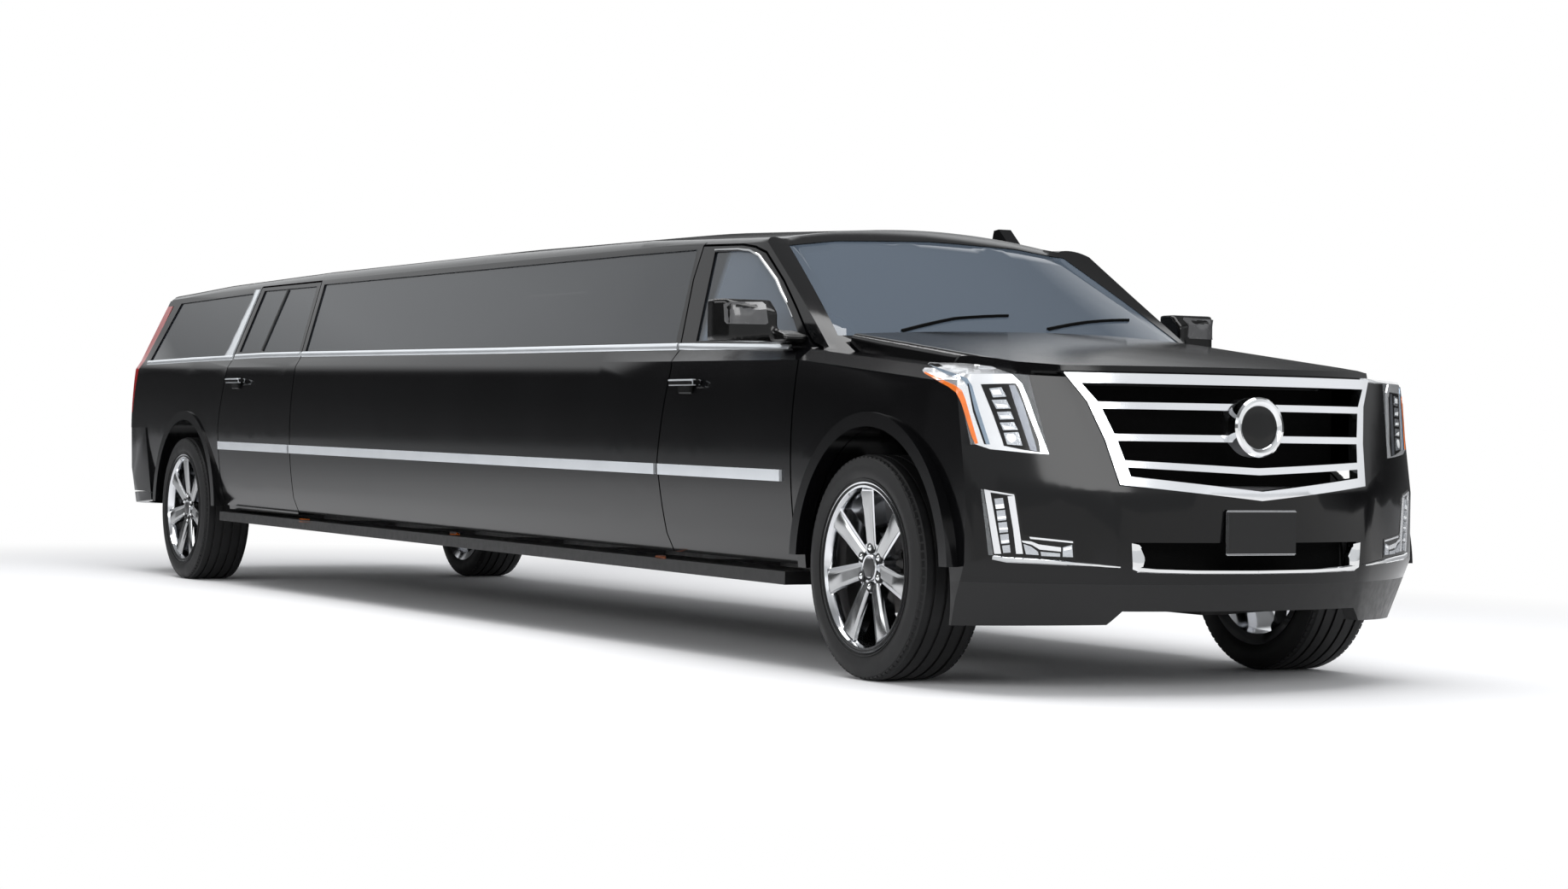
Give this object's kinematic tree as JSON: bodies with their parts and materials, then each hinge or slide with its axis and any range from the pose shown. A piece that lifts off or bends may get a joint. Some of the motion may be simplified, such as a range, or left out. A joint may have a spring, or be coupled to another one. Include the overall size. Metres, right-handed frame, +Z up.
{
  "type": "stretch limousine",
  "caption": "Long stretched passenger vehicle with opening doors, hood and tailgate, steered front wheels and a saloon cabin for seated guests.",
  "frame": {"origin": "on the ground under the middle of the vehicle's bounding box", "axes": "+X forward, +Y to the driver's left, +Z up"},
  "size_m": [10.247, 2.336, 1.7818],
  "materials": {
    "body_paint": "deep gloss black paint",
    "frame_steel": "satin black painted steel",
    "floor_carpet": "black carpet over sheet steel",
    "axle_iron": "dark cast iron",
    "engine_alloy": "dull cast alloy",
    "dark_glass": "dark tinted glass",
    "chrome_trim": "bright polished",
    "black_plastic": "satin moulded black",
    "lamp_clear": "clear lamp lens",
    "lamp_red": "red lamp lens",
    "seat_leather": "soft black leather",
    "dash_plastic": "grained plastic",
    "tyre_rubber": "matt black rubber",
    "rim_chrome": "bright machined and plated"
  },
  "bodies": {
    "body": {"chassis_frame": "frame_steel", "cowl": "black_plastic", "dashboard": "dash_plastic", "engine": "engine_alloy", "fenders": "body_paint", "fixed_glass": "dark_glass", "floor_pan": "floor_carpet", "fog_lamps": "lamp_clear", "front_bumper": "body_paint", "front_skirt": "black_plastic", "grille": "chrome_trim", "headlamps": "lamp_clear", "quarter_panels": "body_paint", "rear_axle": "axle_iron", "rear_bumper": "body_paint", "roof": "body_paint", "running_boards": "black_plastic", "seats": "seat_leather", "side_mouldings": "chrome_trim", "stretch_panels": "body_paint", "tail_lamps": "lamp_red"},
    "door_front_left": {"door_front_left": "body_paint", "glass_front_left": "dark_glass", "trim_front_left": "chrome_trim", "mirror_left": "body_paint"},
    "door_rear_left": {"door_rear_left": "body_paint", "glass_rear_left": "dark_glass", "trim_rear_left": "chrome_trim"},
    "knuckle_left": {"knuckle_left": "axle_iron"},
    "wheel_front_left": {"tyre_front_left": "tyre_rubber", "rim_front_left": "rim_chrome"},
    "wheel_rear_left": {"tyre_rear_left": "tyre_rubber", "rim_rear_left": "rim_chrome"},
    "door_front_right": {"door_front_right": "body_paint", "glass_front_right": "dark_glass", "trim_front_right": "chrome_trim", "mirror_right": "body_paint"},
    "door_rear_right": {"door_rear_right": "body_paint", "glass_rear_right": "dark_glass", "trim_rear_right": "chrome_trim"},
    "knuckle_right": {"knuckle_right": "axle_iron"},
    "wheel_front_right": {"tyre_front_right": "tyre_rubber", "rim_front_right": "rim_chrome"},
    "wheel_rear_right": {"tyre_rear_right": "tyre_rubber", "rim_rear_right": "rim_chrome"},
    "hood": {"hood": "body_paint"},
    "tailgate": {"tailgate": "body_paint", "tailgate_glass": "dark_glass"}
  },
  "joints": [
    {"name": "steer_left", "type": "hinge", "parent": "body", "child": "knuckle_left", "pos_m": [4.0955, 0.812, 0.4075], "axis": [0, 0, 1], "range_deg": [-35, 35]},
    {"name": "spin_front_left", "type": "hinge", "parent": "knuckle_left", "child": "wheel_front_left", "pos_m": [4.0955, 0.872, 0.4075], "axis": [0, 1, 0], "continuous": true},
    {"name": "spin_rear_left", "type": "hinge", "parent": "body", "child": "wheel_rear_left", "pos_m": [-3.7785, 0.872, 0.4075], "axis": [0, 1, 0], "continuous": true},
    {"name": "open_door_front_left", "type": "hinge", "parent": "body", "child": "door_front_left", "pos_m": [3.4905, 1, 0.8], "axis": [0, 0, -1], "range_deg": [0, 65]},
    {"name": "open_door_rear_left", "type": "hinge", "parent": "body", "child": "door_rear_left", "pos_m": [-2.0315, 1, 0.8], "axis": [0, 0, -1], "range_deg": [0, 68]},
    {"name": "steer_right", "type": "hinge", "parent": "body", "child": "knuckle_right", "pos_m": [4.0955, -0.812, 0.4075], "axis": [0, 0, 1], "range_deg": [-35, 35]},
    {"name": "spin_front_right", "type": "hinge", "parent": "knuckle_right", "child": "wheel_front_right", "pos_m": [4.0955, -0.872, 0.4075], "axis": [0, 1, 0], "continuous": true},
    {"name": "spin_rear_right", "type": "hinge", "parent": "body", "child": "wheel_rear_right", "pos_m": [-3.7785, -0.872, 0.4075], "axis": [0, 1, 0], "continuous": true},
    {"name": "open_door_front_right", "type": "hinge", "parent": "body", "child": "door_front_right", "pos_m": [3.4905, -1, 0.8], "axis": [0, 0, 1], "range_deg": [0, 65]},
    {"name": "open_door_rear_right", "type": "hinge", "parent": "body", "child": "door_rear_right", "pos_m": [-2.0315, -1, 0.8], "axis": [0, 0, 1], "range_deg": [0, 68]},
    {"name": "open_hood", "type": "hinge", "parent": "body", "child": "hood", "pos_m": [3.5655, 0, 1.26], "axis": [0, -1, 0], "range_deg": [0, 50]},
    {"name": "open_tailgate", "type": "hinge", "parent": "body", "child": "tailgate", "pos_m": [-4.6255, 0, 1.719], "axis": [0, 1, 0], "range_deg": [0, 80]}
  ],
  "couplings": [
    {"joint": "steer_left", "follows": "steer_right", "ratio": 1}
  ]
}
